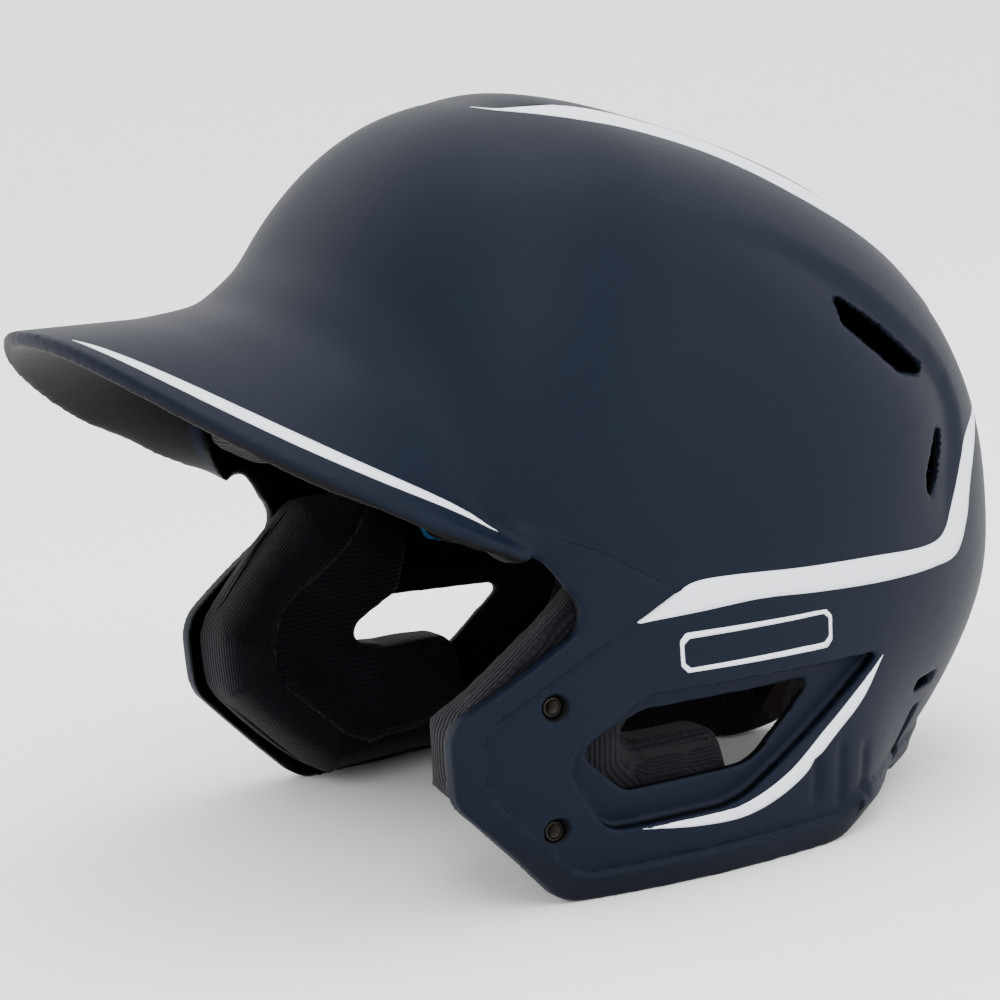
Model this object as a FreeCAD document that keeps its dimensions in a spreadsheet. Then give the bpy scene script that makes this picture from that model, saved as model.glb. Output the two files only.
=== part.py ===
import FreeCAD, Part
import math
import os

# Batting helmet with two ear flaps, standing on its flaps.
# Millimetres.  +Z up, the wearer looks along -Y, the wearer's left is +X.
# The origin lies under the middle of the helmet, on the surface it stands on.

SIZES = (
    # outer form of the shell: a rounded, tilted egg about its own centre
    ("form_half_width", 103.5),
    ("form_front", 87.7),
    ("form_rear", 162.1),
    ("form_rise", 147.0),
    ("form_drop", 101.2),
    ("plan_power", 2.288),
    ("side_power", 2.705),
    ("form_pitch_deg", 19.04),
    ("form_centre_y", -21.5),
    ("form_centre_z", 67.3),
    # the back narrows towards the neck below this height
    ("nape_top_z", 60.0),
    ("nape_front_y", 50.0),
    ("nape_fade", 50.0),
    ("nape_pull", 20.0),
    # moulded shell
    ("wall", 3.4),
    ("rim_step", 1.5),
    ("rim_band", 7.5),
    ("bill_thickness", 4.6),
    ("bill_reach", 100.0),
    ("bill_rise", 64.0),
    ("bill_power", 2.2),
    ("bill_side_inset", 3.0),
    ("temple_y", -46.6),
    ("temple_z", 97.0),
    ("flap_floor_z", 0.0),
    ("flap_front_y", -74.6),
    ("nape_rim_z", 6.0),
    # ear opening and the dish around it
    ("dish_depth", 4.5),
    ("ear_top_z", 52.0),
    ("ear_bottom_z", 30.0),
    # face-guard nuts
    ("nut_y", -47.1),
    ("nut_low_z", 23.0),
    ("nut_pitch", 35.0),
    ("thread_minor_radius", 1.75),
    ("barrel_radius", 2.9),
    ("barrel_clearance", 0.1),
    ("flange_radius", 7.0),
    ("flange_thickness", 1.2),
    ("counterbore_radius", 4.0),
    ("counterbore_depth", 1.4),
    ("boss_radius", 8.5),
    ("boss_depth", 2.5),
    # padding, from the shell inwards
    ("patch_thickness", 1.2),
    ("patch_radius", 6.0),
    ("base_thickness", 2.5),
    ("cover_thickness", 1.2),
    ("cheek_depth", 20.0),
    ("brow_depth", 13.0),
    ("side_depth", 14.0),
    ("rear_depth", 15.0),
    ("nape_depth", 12.0),
    ("crown_depth", 14.0),
    ("pad_gap", 0.5),
)

RING_POINTS = 40
RING_COUNT = 22
POLE_ANGLE = 3.0
BILL_SECTIONS = 12
FAR = 260.0

document = FreeCAD.newDocument("BattingHelmet")
sheet = document.addObject("Spreadsheet::Sheet", "Sizes")
for row, (alias, value) in enumerate(SIZES, start=1):
    sheet.set("A%d" % row, alias)
    sheet.set("B%d" % row, str(value))
    sheet.setAlias("B%d" % row, alias)
document.recompute()


def size(name):
    return float(sheet.get(name))


def vector(x, y, z):
    return FreeCAD.Vector(x, y, z)


# ---------------------------------------------------------------- outer form

def clamp(value):
    return min(1.0, max(0.0, value))


def nape_pull(y, z):
    """How far the back is drawn in towards the neck at this place."""
    depth = clamp((size("nape_top_z") - z) / size("nape_top_z"))
    side = clamp((y - size("nape_front_y")) / size("nape_fade"))
    return size("nape_pull") * depth ** 1.5 * side * side * (3.0 - 2.0 * side)


def form_point(lean, turn, inset):
    """Point of the form, inset from the outside, by its two angles."""
    plan = size("plan_power")
    side = size("side_power")
    across = math.sin(turn)
    along = math.cos(turn)
    rise = size("form_rise") if lean < math.pi / 2 else size("form_drop")
    reach = size("form_rear") if along > 0 else size("form_front")
    level = (abs(math.sin(lean)) ** side + abs(math.cos(lean)) ** side) ** (-1.0 / side)
    half_width = size("form_half_width") - inset
    spread = (abs(across / half_width) ** plan + abs(along / (reach - inset)) ** plan) ** (-1.0 / plan)
    radius = level * math.sin(lean) * spread
    up = level * math.cos(lean) * (rise - inset)
    back = radius * along
    pitch = math.radians(size("form_pitch_deg"))
    x = radius * across
    y = size("form_centre_y") + back * math.cos(pitch) + up * math.sin(pitch)
    z = size("form_centre_z") - back * math.sin(pitch) + up * math.cos(pitch)
    pull = nape_pull(y, z)
    run = math.hypot(x, y)
    if run > pull > 0:
        x -= x / run * pull
        y -= y / run * pull
    return vector(x, y, z)


FORMS = {}


def form_solid(inset):
    """The whole form, drawn in by inset, as one closed solid."""
    key = round(inset, 6)
    if key not in FORMS:
        FORMS[key] = new_form(inset)
    return FORMS[key]


def new_form(inset):
    """Loft through rings of form points from just under the top to just above the bottom."""
    wires = []
    shares = [float(k) / RING_POINTS for k in range(RING_POINTS + 1)]
    for step in range(RING_COUNT + 1):
        lean = math.radians(POLE_ANGLE + (180.0 - 2 * POLE_ANGLE) * step / RING_COUNT)
        points = []
        for k in range(RING_POINTS):
            points.append(form_point(lean, 2 * math.pi * k / RING_POINTS, inset))
        ring = Part.BSplineCurve()
        ring.interpolate(Points=points, PeriodicFlag=True, Parameters=shares)
        wires.append(Part.Wire(ring.toShape()))
    return Part.makeLoft(wires, True)


def form_value(x, y, z, inset):
    """Below 1 inside the form and above 1 outside, the narrowed nape left out."""
    plan = size("plan_power")
    side = size("side_power")
    pitch = math.radians(size("form_pitch_deg"))
    level = y - size("form_centre_y")
    height = z - size("form_centre_z")
    back = level * math.cos(pitch) - height * math.sin(pitch)
    up = level * math.sin(pitch) + height * math.cos(pitch)
    reach = size("form_rear") if back > 0 else size("form_front")
    rise = size("form_rise") if up > 0 else size("form_drop")
    half_width = size("form_half_width") - inset
    spread = (abs(x / half_width) ** plan + abs(back / (reach - inset)) ** plan) ** (1.0 / plan)
    return (spread ** side + abs(up / (rise - inset)) ** side) ** (1.0 / side)


def outermost(place, near, away, inset=0.0):
    """The value between near and away at which place(value) lies on the form."""
    for _ in range(40):
        middle = (near + away) / 2
        if form_value(*place(middle), inset) < 1.0:
            near = middle
        else:
            away = middle
    return near


def front_y(x, z):
    """Where the front of the form lies at this width and height."""
    return outermost(lambda y: (x, y, z), size("form_centre_y"), -FAR)


def side_x(y, z, inset=0.0):
    """Half width of the inset form at this place."""
    return outermost(lambda x: (x, y, z), 0.0, FAR, inset)


# ------------------------------------------------------------------ outlines

def rounded_edges(corners):
    """Closed outline in a plane: corners are (a, b, radius)."""
    count = len(corners)
    spans = []
    for k in range(count):
        before = vector(corners[k - 1][0], corners[k - 1][1], 0)
        here = vector(corners[k][0], corners[k][1], 0)
        after = vector(corners[(k + 1) % count][0], corners[(k + 1) % count][1], 0)
        radius = corners[k][2]
        back = (before - here).normalize()
        ahead = (after - here).normalize()
        half = back.getAngle(ahead) / 2
        if radius <= 0:
            spans.append((here, None, here))
            continue
        run = radius / math.tan(half)
        centre = here + (back + ahead).normalize() * (radius / math.sin(half))
        middle = centre + (here - centre).normalize() * radius
        spans.append((here + back * run, middle, here + ahead * run))
    edges = []
    for k in range(count):
        start, middle, end = spans[k]
        if middle is not None:
            edges.append(Part.Arc(start, middle, end).toShape())
        edges.append(Part.makeLine(end, spans[(k + 1) % count][0]))
    return edges


def side_prism(corners, start_x, end_x, grow=0.0):
    """Solid along X with the (y, z) outline."""
    face = Part.Face(Part.Wire(rounded_edges(corners)))
    if grow:
        face = face.makeOffset2D(grow)
    turn = FreeCAD.Placement(vector(start_x, 0, 0), FreeCAD.Rotation(vector(1, 1, 1), 120))
    face.Placement = turn
    return face.extrude(vector(end_x - start_x, 0, 0))


def front_prism(corners, start_y, end_y, grow=0.0):
    """Solid along Y with the (x, z) outline."""
    face = Part.Face(Part.Wire(rounded_edges(corners)))
    if grow:
        face = face.makeOffset2D(grow)
    face.Placement = FreeCAD.Placement(vector(0, start_y, 0), FreeCAD.Rotation(vector(1, 0, 0), 90))
    return face.extrude(vector(0, end_y - start_y, 0))


def top_prism(corners, start_z, end_z, grow=0.0):
    """Solid along Z with the (x, y) outline."""
    face = Part.Face(Part.Wire(rounded_edges(corners)))
    if grow:
        face = face.makeOffset2D(grow)
    face.Placement = FreeCAD.Placement(vector(0, 0, start_z), FreeCAD.Rotation())
    return face.extrude(vector(0, 0, end_z - start_z))


def mirrored(shape):
    return shape.mirror(vector(0, 0, 0), vector(1, 0, 0))


def both_sides(shape):
    return [shape, mirrored(shape)]


def rod(radius, start_x, end_x, y, z):
    return Part.makeCylinder(radius, end_x - start_x, vector(start_x, y, z), vector(1, 0, 0))


# ----------------------------------------------------------------- the bill

def bill_edge(along):
    """Edge of the bill: along runs from -1 at one temple over 0 in front to 1."""
    angle = along * math.pi / 2
    power = size("bill_power")
    half_width = size("form_half_width") - size("bill_side_inset")
    radius = (abs(math.sin(angle) / half_width) ** power
              + abs(math.cos(angle) / size("bill_reach")) ** power) ** (-1.0 / power)
    ahead = radius * math.cos(angle) / size("bill_reach")
    rise = size("bill_rise") * (0.7 * ahead + 0.3 * ahead ** 3)
    return vector(radius * math.sin(angle), size("temple_y") - ahead * size("bill_reach"),
                  size("temple_z") + rise)


def bill_root(along, lift=0.0):
    """Where the bill's top meets the bowl, lifted up the bowl by some height."""
    edge = bill_edge(along)
    ahead = (size("temple_y") - edge.y) / size("bill_reach")
    inset = 0.25 * ahead * (1.0 - ahead) * 2.0 + 0.03
    x = edge.x * (1.0 - inset)
    z = size("temple_z") + (size("bill_rise") - 3.0) * ahead ** 1.05 + lift
    return vector(x, front_y(x, z), z)


def bill_section(along):
    """Closed, flat outline of the bill between its edge and the bowl."""
    edge = bill_edge(along)
    ahead = (size("temple_y") - edge.y) / size("bill_reach")
    root = bill_root(along)
    high = bill_root(along, 3.0 + 11.0 * ahead)
    inward = root - edge
    reach = inward.Length
    inward.normalize()
    step = 0.01
    tangent = bill_edge(along + step) - bill_edge(along - step)
    normal = inward.cross(tangent).normalize()
    if normal.z < 0:
        normal = -normal
    half = size("bill_thickness") / 2
    lift = (high - edge).dot(normal)
    sunk = reach + size("wall") * 1.5
    outline = (
        (0.0, -half),
        (0.0, half),
        (reach * 0.58, half + 0.3 * ahead),
        (reach * 0.9, half + lift * 0.2),
        (sunk + lift * 0.3, half + lift),
        (sunk, -half),
    )
    corners = [edge + inward * run + normal * rise for run, rise in outline]
    return Part.makePolygon(corners + corners[:1])


def bill_solid():
    """The bill as a loft from one temple to the other, running into the bowl."""
    sections = []
    for step in range(-BILL_SECTIONS, BILL_SECTIONS + 1):
        sections.append(bill_section(0.985 * step / BILL_SECTIONS))
    return Part.makeLoft(sections, True)


def brow_line():
    """Side outline of the bowl's front edge, from a temple to the middle."""
    corners = []
    for step in range(1, 9):
        along = 1.0 - step / 8.0
        root = bill_root(along)
        corners.append((root.y, root.z - size("bill_thickness") / 2, 0))
    return corners


# -------------------------------------------------------------------- shell

def flap_corners(inset):
    """Front, bottom and back corners of the ear flap, drawn in by inset."""
    floor = size("flap_floor_z") + inset
    front = size("flap_front_y") + inset
    return [
        (size("temple_y"), size("temple_z"), 0),
        (size("temple_y") + 12.5 + inset * 0.8, 80.5, 8),
        (front, 56 - inset * 0.3, 12),
        (front + 0.5, 34 + inset * 0.4, 12),
        (-42.6 + inset * 0.4, floor, 14),
        (47, floor, 12),
        (60, size("nape_rim_z") + inset, 4),
    ]


def keep_outline():
    """Side outline of everything that is kept of the bowl."""
    corners = [(-FAR, FAR, 0), (-FAR, brow_line()[-1][1], 0)]
    corners += list(reversed(brow_line()))
    corners += flap_corners(0.0)
    corners += [(FAR, size("nape_rim_z") * 2.0, 0), (FAR, FAR, 0)]
    return corners


DISH_CORNERS = (
    (-46, 42, 7),
    (-20, 57, 12),
    (64, 53, 1.5),
    (9, 20, 26),
    (-32, 20, 10),
)


def ear_outline():
    """Leaf-shaped ear opening between its bottom and top heights."""
    low = size("ear_bottom_z")
    top = size("ear_top_z")
    return [
        (-40, (low + top) / 2 + 3, 4),
        (-25, low, 7),
        (16, low, 16),
        (39.5, top - 2, 2),
        (-19, top, 12),
    ]


def vent_outlines():
    """Side outlines of the two vents behind each ear."""
    upper = [(64, 154, 1), (64, 145, 2), (84, 128.5, 3), (94, 126, 1.5), (96.5, 128.5, 1), (79.5, 143, 4)]
    lower = [(101, 114, 1), (95, 108, 2), (88.5, 99, 2), (87.5, 94, 1), (89.5, 92, 1), (94, 98, 3)]
    return [upper, lower]


def nape_slot(x, y, z, width, height):
    """Small slot through the left of the nape, square to the wall there."""
    slot = Part.makeBox(width, 40, height, vector(-width / 2, -20, -height / 2))
    slot.Placement = FreeCAD.Placement(vector(x, y, z), FreeCAD.Rotation(vector(0, 0, 1), -38))
    return slot


def nut_heights():
    return (size("nut_low_z"), size("nut_low_z") + size("nut_pitch"))


def nut_seat_x(z):
    """Flat inside face that the flange of the nut pulls against."""
    corner = size("boss_radius")
    reach = min(side_x(size("nut_y") + dy, z + dz, size("wall"))
                for dy in (-corner, corner) for dz in (-corner, corner))
    return reach - 0.5


def nut_mouth_x(z):
    return side_x(size("nut_y"), z) - size("counterbore_depth")


def cut_both_sides(solid, cutter):
    """The solid with the left-hand cutter and its mirror image taken away."""
    for side in both_sides(cutter):
        solid = solid.cut(side)
    return solid


def shell_shape():
    """Moulded shell: dished bowl with its bosses, raised rim band and bill."""
    wall = size("wall")
    outer = form_solid(0.0)
    dish = side_prism(DISH_CORNERS, 40, 130).cut(form_solid(size("dish_depth")))
    outer = cut_both_sides(outer, dish)
    room = form_solid(wall)
    behind = side_prism(DISH_CORNERS, 40, 130, wall)
    behind = behind.cut(form_solid(size("dish_depth") + wall))
    room = cut_both_sides(room, behind)
    bosses = []
    for z in nut_heights():
        bosses.append(rod(size("boss_radius"), nut_seat_x(z), 130, size("nut_y"), z))
    boss = bosses[0].fuse(bosses[1:])
    room = cut_both_sides(room, boss)
    keep = side_prism(keep_outline(), -130, 130)
    bowl = outer.cut(room).common(keep)
    band = form_solid(-size("rim_step")).cut(form_solid(1.0)).common(rim_prism())
    bowl = bowl.fuse(band)
    bowl = bowl.fuse(bill_solid().cut(form_solid(wall)))
    return pierced(bowl)


def rim_prism():
    """Side region of the raised band around the flap, on the left."""
    behind = [(FAR, size("nape_rim_z") * 2.0, 0), (FAR, 84, 0), (-9, 84, 0), (-30, 97.5, 0), (-53, 108, 0)]
    whole = side_prism(flap_corners(0.0) + behind, -130, 130)
    inner = flap_corners(size("rim_band"))[2:]
    inner += [(FAR, size("nape_rim_z") * 2.0 + size("rim_band"), 0), (FAR, 90, 0), (-9, 84.2, 0), (-47, 66, 5)]
    return whole.cut(side_prism(inner, -140, 140))


def nut_hole(z):
    """Hole for a nut's barrel and its wider mouth in the left flap."""
    hole = rod(size("barrel_radius") + size("barrel_clearance"), 60, 130, size("nut_y"), z)
    return hole.fuse(rod(size("counterbore_radius"), nut_mouth_x(z), 130, size("nut_y"), z))


def pierced(solid):
    """The shell with its ear openings, vents and nut holes cut on both sides."""
    cutters = [side_prism(ear_outline(), 60, 130)]
    cutters += [side_prism(outline, 30, 130) for outline in vent_outlines()]
    cutters.append(nape_slot(72, 88, 36, 14, 3.5))
    cutters.append(nape_slot(68, 86, 21, 6, 15))
    cutters += [nut_hole(z) for z in nut_heights()]
    return solid.cut(cutters + [mirrored(cutter) for cutter in cutters])


# ------------------------------------------------------------------ padding

# outlines of the pads, (y, z, radius) at the sides, (x, z, radius) behind and (x, y, radius) on top
CHEEK = (
    (-33, 88, 4), (-71, 54.5, 12), (-71, 34.5, 12), (-41, 4, 14), (10, 4, 6), (14, 16, 5), (11, 30, 4),
    (-16, 30, 6), (-22.5, 38, 4), (-22.5, 47, 4), (-5, 56, 5), (3, 77, 8), (-10, 88, 6),
)
BROW = (
    (-140, 160, 0), (-79, 160, 0), (-70, 134, 0), (-65, 113, 0), (-43, 101, 5), (-30, 110, 5),
    (-38, 150, 20), (-48, 190, 0), (-140, 190, 0),
)
SIDE = ((-14, 98, 6), (-16, 126, 8), (44, 120, 8), (48, 66, 8), (14, 66, 6), (8, 94, 6))
REAR = ((62, 8, 5), (58, 84, 8), (170, 84, 0), (170, 8, 0))
NAPE = ((-22, 8, 6), (22, 8, 6), (22, 84, 6), (-22, 84, 6))
BACK = ((-50, 92, 12), (50, 92, 12), (40, 150, 14), (-40, 150, 14))
CROWN = ((-44, -26, 18), (44, -26, 18), (44, 62, 18), (-44, 62, 18))


def nut_room(gap):
    """Space that the nuts and their bosses fill inside the left flap."""
    rods = []
    for z in nut_heights():
        start = nut_seat_x(z) - size("flange_thickness") - gap
        rods.append(rod(size("boss_radius") + gap, start, 130, size("nut_y"), z))
    return rods[0].fuse(rods[1:])


def flap_room():
    """Space that the dish, the bosses and the nuts fill inside the left flap."""
    gap = size("pad_gap")
    grown = size("wall") + gap
    dish = side_prism(DISH_CORNERS, 40, 130, grown)
    dish = dish.cut(form_solid(size("dish_depth") + grown))
    return dish.fuse(nut_room(gap))


def pad_layer(prism, grow, start, end):
    """Part of a pad between two insets of the form, clear of dishes and nuts."""
    layer = form_solid(start).common(prism(grow)).cut(form_solid(end))
    return cut_both_sides(layer, flap_room())


def pad_pieces(prism, depth, covered=True):
    """Base plate, foam and knit cover of one pad, each touching the next."""
    plate_face = size("wall") + size("patch_thickness")
    foam_face = plate_face + size("base_thickness")
    plate = pad_layer(prism, 0.0, plate_face, foam_face)
    block = pad_layer(prism, 0.0, foam_face, foam_face + depth)
    if not covered:
        return {"base": plate, "foam": block}
    skin = size("cover_thickness")
    foam = pad_layer(prism, -skin, foam_face, foam_face + depth - skin)
    return {"base": plate, "foam": foam, "cover": block.cut(foam)}


def one_solid(shape):
    """The largest solid of a boolean's result."""
    solids = sorted(shape.Solids, key=lambda solid: solid.Volume)
    return solids[-1]


def add_pad(name, prism, depth, sided, covered=True):
    for layer, shape in pad_pieces(prism, depth, covered).items():
        solid = one_solid(shape)
        if not sided:
            add_node("%s_%s" % (name, layer), solid)
            continue
        add_node("%s_%s_left" % (name, layer), solid)
        add_node("%s_%s_right" % (name, layer), mirrored(solid))


def add_padding():
    add_pad("cheek", lambda grow: side_prism(CHEEK, 40, 130, grow), size("cheek_depth"), True)
    add_pad("side", lambda grow: side_prism(SIDE, 40, 130, grow), size("side_depth"), True)
    add_pad("rear", lambda grow: side_prism(REAR, 26 - grow, 130, grow), size("rear_depth"), True)
    add_pad("brow", lambda grow: side_prism(BROW, -130, 130, grow), size("brow_depth"), False)
    add_pad("back", lambda grow: front_prism(BACK, 200, 40, grow), size("rear_depth"), False)
    add_pad("nape", lambda grow: front_prism(NAPE, 200, 40, grow), size("nape_depth"), False, False)
    add_pad("crown", lambda grow: top_prism(CROWN, 120, 220, grow), size("crown_depth"), False)


# places of the hook patches behind the pads, on the left: (y, z), (x, z), (x, z), (x, y)
SIDE_PATCHES = ((-62, 44), (-30, 78), (-30, 9.5), (0, 112), (32, 92))
BACK_PATCHES = ((36, 74), (60, 74), (11, 74), (24, 120))
FRONT_PATCHES = ((34, 172),)
TOP_PATCHES = ((20, 0), (20, 38))


def patch_centres(inset):
    """Places on the inset form for the patches behind each pad, on the left."""
    centres = []
    for y, z in SIDE_PATCHES:
        centres.append(vector(side_x(y, z, inset), y, z))
    for x, z in BACK_PATCHES:
        centres.append(vector(x, outermost(lambda y: (x, y, z), 0.0, FAR, inset), z))
    for x, z in FRONT_PATCHES:
        centres.append(vector(x, outermost(lambda y: (x, y, z), 0.0, -FAR, inset), z))
    for x, y in TOP_PATCHES:
        centres.append(vector(x, y, outermost(lambda z: (x, y, z), size("form_centre_z"), FAR, inset)))
    return centres


def outward(point, inset):
    """Direction straight out of the form at a point on it."""
    step = 0.01
    slopes = []
    for axis in (vector(1, 0, 0), vector(0, 1, 0), vector(0, 0, 1)):
        ahead = point + axis * step
        back = point - axis * step
        slopes.append(form_value(*ahead, inset) - form_value(*back, inset))
    return vector(*slopes).normalize()


def hook_patches():
    """Round patches that lie in the gap between the shell and the pads' base plates."""
    inset = size("wall") + size("patch_thickness") / 2
    thick = size("patch_thickness") / 2
    discs = []
    for centre in patch_centres(inset):
        out = outward(centre, inset)
        disc = Part.makeCylinder(size("patch_radius"), thick, centre - out * (thick / 2), out)
        discs += both_sides(disc)
    return Part.makeCompound(discs)


# ----------------------------------------------------------- face-guard nuts

def fill_nut_cells(row):
    """Place and length of each nut, worked out from the form and kept in the sheet."""
    for level, z in zip(("low", "high"), nut_heights()):
        cells = (
            ("%s_nut_z" % level, z),
            ("%s_nut_seat" % level, nut_seat_x(z)),
            ("%s_nut_barrel" % level, nut_mouth_x(z) - nut_seat_x(z) - 0.3),
        )
        for alias, value in cells:
            sheet.set("A%d" % row, alias)
            sheet.set("B%d" % row, str(value))
            sheet.setAlias("B%d" % row, alias)
            row += 1
    document.recompute()


def cylinder(label, radius, height, placement):
    """Cylinder whose radius and height follow the spreadsheet."""
    made = document.addObject("Part::Cylinder", label)
    made.setExpression("Radius", radius)
    made.setExpression("Height", height)
    made.Placement = placement
    return made


def add_nut(level, side, turn):
    """Flanged nut, its barrel pointing outwards along +X or -X."""
    label = "face_guard_nut_%s_%s" % (level, side)
    seat = size("%s_nut_seat" % level) * turn
    z = size("%s_nut_z" % level)
    out = FreeCAD.Rotation(vector(0, 0, 1), vector(turn, 0, 0))
    thick = size("flange_thickness")
    start = FreeCAD.Placement(vector(seat - turn * thick, size("nut_y"), z), out)
    flange = cylinder(label + "_flange", "Sizes.flange_radius", "Sizes.flange_thickness", start)
    length = "Sizes.%s_nut_barrel + Sizes.flange_thickness" % level
    barrel = cylinder(label + "_barrel", "Sizes.barrel_radius", length, start)
    bore = cylinder(label + "_bore", "Sizes.thread_minor_radius", length, start)
    solid = document.addObject("Part::Fuse", label + "_solid")
    solid.Base = flange
    solid.Tool = barrel
    nut = document.addObject("Part::Cut", label)
    nut.Base = solid
    nut.Tool = bore
    nut.Label = label
    nodes.append(nut)


def add_node(label, shape):
    """Puts a finished shape into the document as one named node."""
    made = document.addObject("Part::Feature", label)
    made.Shape = shape
    made.Label = label
    made.Placement = FreeCAD.Placement()
    nodes.append(made)


# -------------------------------------------------------------------- build

nodes = []
fill_nut_cells(len(SIZES) + 1)
add_node("shell", one_solid(shell_shape()))
for nut_side, nut_turn in (("left", 1), ("right", -1)):
    for nut_level in ("low", "high"):
        add_nut(nut_level, nut_side, nut_turn)
add_padding()
add_node("hook_patches", hook_patches())
document.recompute()

for item in document.Objects:
    if "Invalid" in item.State or "Error" in item.State:
        raise RuntimeError("%s could not be built" % item.Label)
for node in nodes:
    if node.Shape.isNull() or not node.Shape.isValid():
        raise RuntimeError("%s is not a valid solid" % node.Label)

os.makedirs("parts", exist_ok=True)
for node in nodes:
    node.Shape.exportStep("parts/%s.step" % node.Label)
    print(node.Label, len(node.Shape.Solids), round(node.Shape.Volume / 1000, 2))
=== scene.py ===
import math

import bmesh
import bpy
import numpy as np
from mathutils import Matrix, Vector


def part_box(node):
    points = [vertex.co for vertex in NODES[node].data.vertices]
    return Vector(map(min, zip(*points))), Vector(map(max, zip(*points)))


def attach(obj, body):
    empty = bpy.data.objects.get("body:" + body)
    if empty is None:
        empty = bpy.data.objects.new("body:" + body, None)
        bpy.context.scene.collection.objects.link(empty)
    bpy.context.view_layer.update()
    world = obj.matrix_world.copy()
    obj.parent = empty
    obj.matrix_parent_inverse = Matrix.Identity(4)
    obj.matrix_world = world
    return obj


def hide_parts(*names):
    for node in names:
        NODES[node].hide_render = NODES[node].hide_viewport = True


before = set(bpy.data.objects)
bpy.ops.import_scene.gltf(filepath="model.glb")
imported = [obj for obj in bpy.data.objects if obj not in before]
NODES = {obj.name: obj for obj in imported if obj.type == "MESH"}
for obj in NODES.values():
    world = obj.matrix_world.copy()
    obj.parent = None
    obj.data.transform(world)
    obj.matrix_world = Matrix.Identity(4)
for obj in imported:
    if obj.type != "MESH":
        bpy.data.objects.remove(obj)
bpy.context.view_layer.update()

MM = 0.001
MERGE_GAP = 0.002
SMOOTHING = 0.5
FAR = 260.0

# sizes of the shell's outer form, as in the part's own source, in millimetres
HALF_WIDTH, FORM_FRONT, FORM_REAR, FORM_RISE, FORM_DROP = 103.5, 87.7, 162.1, 147.0, 101.2
PLAN_POWER, SIDE_POWER, PITCH = 2.288, 2.705, math.radians(19.04)
CENTRE_Y, CENTRE_Z = -21.5, 67.3
WALL = 3.4
NUT_Y, NUT_HEIGHTS = -47.1, (23.0, 58.0)


# ------------------------------------------------------------- the shell's form

def nape_pull(y, z):
    """How far the form is drawn in towards its axis, low at the back."""
    depth = np.clip((60.0 - z) / 60.0, 0, 1)
    side = np.clip((y - 50.0) / 50.0, 0, 1)
    return 20.0 * depth ** 1.5 * side * side * (3.0 - 2.0 * side)


def form_value(points, inset=0.0):
    """Below 1 inside the form and above 1 outside it, for millimetre points."""
    x, y, z = points[:, 0], points[:, 1], points[:, 2]
    run = np.maximum(np.hypot(x, y), 1.0)
    grow = 1.0 + nape_pull(y, z) / run
    x, y = x * grow, y * grow
    level = y - CENTRE_Y
    height = z - CENTRE_Z
    back = level * math.cos(PITCH) - height * math.sin(PITCH)
    up = level * math.sin(PITCH) + height * math.cos(PITCH)
    reach = np.where(back > 0, FORM_REAR, FORM_FRONT) - inset
    rise = np.where(up > 0, FORM_RISE, FORM_DROP) - inset
    spread = (np.abs(x / (HALF_WIDTH - inset)) ** PLAN_POWER + np.abs(back / reach) ** PLAN_POWER)
    return (spread ** (SIDE_POWER / PLAN_POWER) + np.abs(up / rise) ** SIDE_POWER) ** (1.0 / SIDE_POWER)


def outward(points):
    """Unit directions straight out of the form."""
    slopes = []
    for axis in range(3):
        step = np.zeros(3)
        step[axis] = 0.5
        slopes.append(form_value(points + step) - form_value(points - step))
    slopes = np.stack(slopes, 1)
    return slopes / np.linalg.norm(slopes, axis=1)[:, None]


def ramp(value, start, end):
    """0 up to start, 1 from end on, and smooth between them."""
    share = np.clip((value - start) / (end - start), 0, 1)
    return share * share * (3.0 - 2.0 * share)


# ---------------------------------------------------------------- mesh helpers

def read_points(mesh):
    """A mesh's vertices in millimetres."""
    flat = np.zeros(len(mesh.vertices) * 3)
    mesh.vertices.foreach_get("co", flat)
    return flat.reshape(-1, 3) / MM


def write_points(mesh, points):
    mesh.vertices.foreach_set("co", (points * MM).ravel())
    mesh.update()


def read_normals(mesh):
    flat = np.zeros(len(mesh.vertices) * 3)
    mesh.vertices.foreach_get("normal", flat)
    return flat.reshape(-1, 3)


def set_smooth(mesh):
    for face in mesh.polygons:
        face.use_smooth = True


def as_mesh(name, bm):
    mesh = bpy.data.meshes.new(name)
    bm.to_mesh(mesh)
    bm.free()
    return mesh


def new_object(name, mesh, finish):
    """A piece that rides on the helmet."""
    piece = bpy.data.objects.new(name, mesh)
    bpy.context.scene.collection.objects.link(piece)
    mesh.materials.clear()
    mesh.materials.append(finish)
    set_smooth(mesh)
    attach(piece, "root")
    return piece


def settled(piece, name, values):
    """Keeps one value per vertex under a name that the material reads."""
    held = piece.data.attributes.get(name) or piece.data.attributes.new(name, "FLOAT", "POINT")
    held.data.foreach_set("value", np.asarray(values, np.float32))


def apply_modifiers(piece):
    """Writes what the modifiers make into the piece's own mesh."""
    graph = bpy.context.evaluated_depsgraph_get()
    made = bpy.data.meshes.new_from_object(piece.evaluated_get(graph))
    piece.modifiers.clear()
    piece.data = made


def merged_copy(name, *node_names):
    """One mesh with merged copies of CAD nodes."""
    bm = bmesh.new()
    for node_name in node_names:
        bm.from_mesh(NODES[node_name].data)
    bmesh.ops.remove_doubles(bm, verts=bm.verts, dist=MERGE_GAP * MM)
    return as_mesh(name, bm)


def remesh(piece, voxel):
    change = piece.modifiers.new("remesh", "REMESH")
    change.mode = "VOXEL"
    change.voxel_size = voxel * MM
    apply_modifiers(piece)


def smooth(piece, repeats):
    change = piece.modifiers.new("smooth", "SMOOTH")
    change.factor = SMOOTHING
    change.iterations = repeats
    apply_modifiers(piece)


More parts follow.
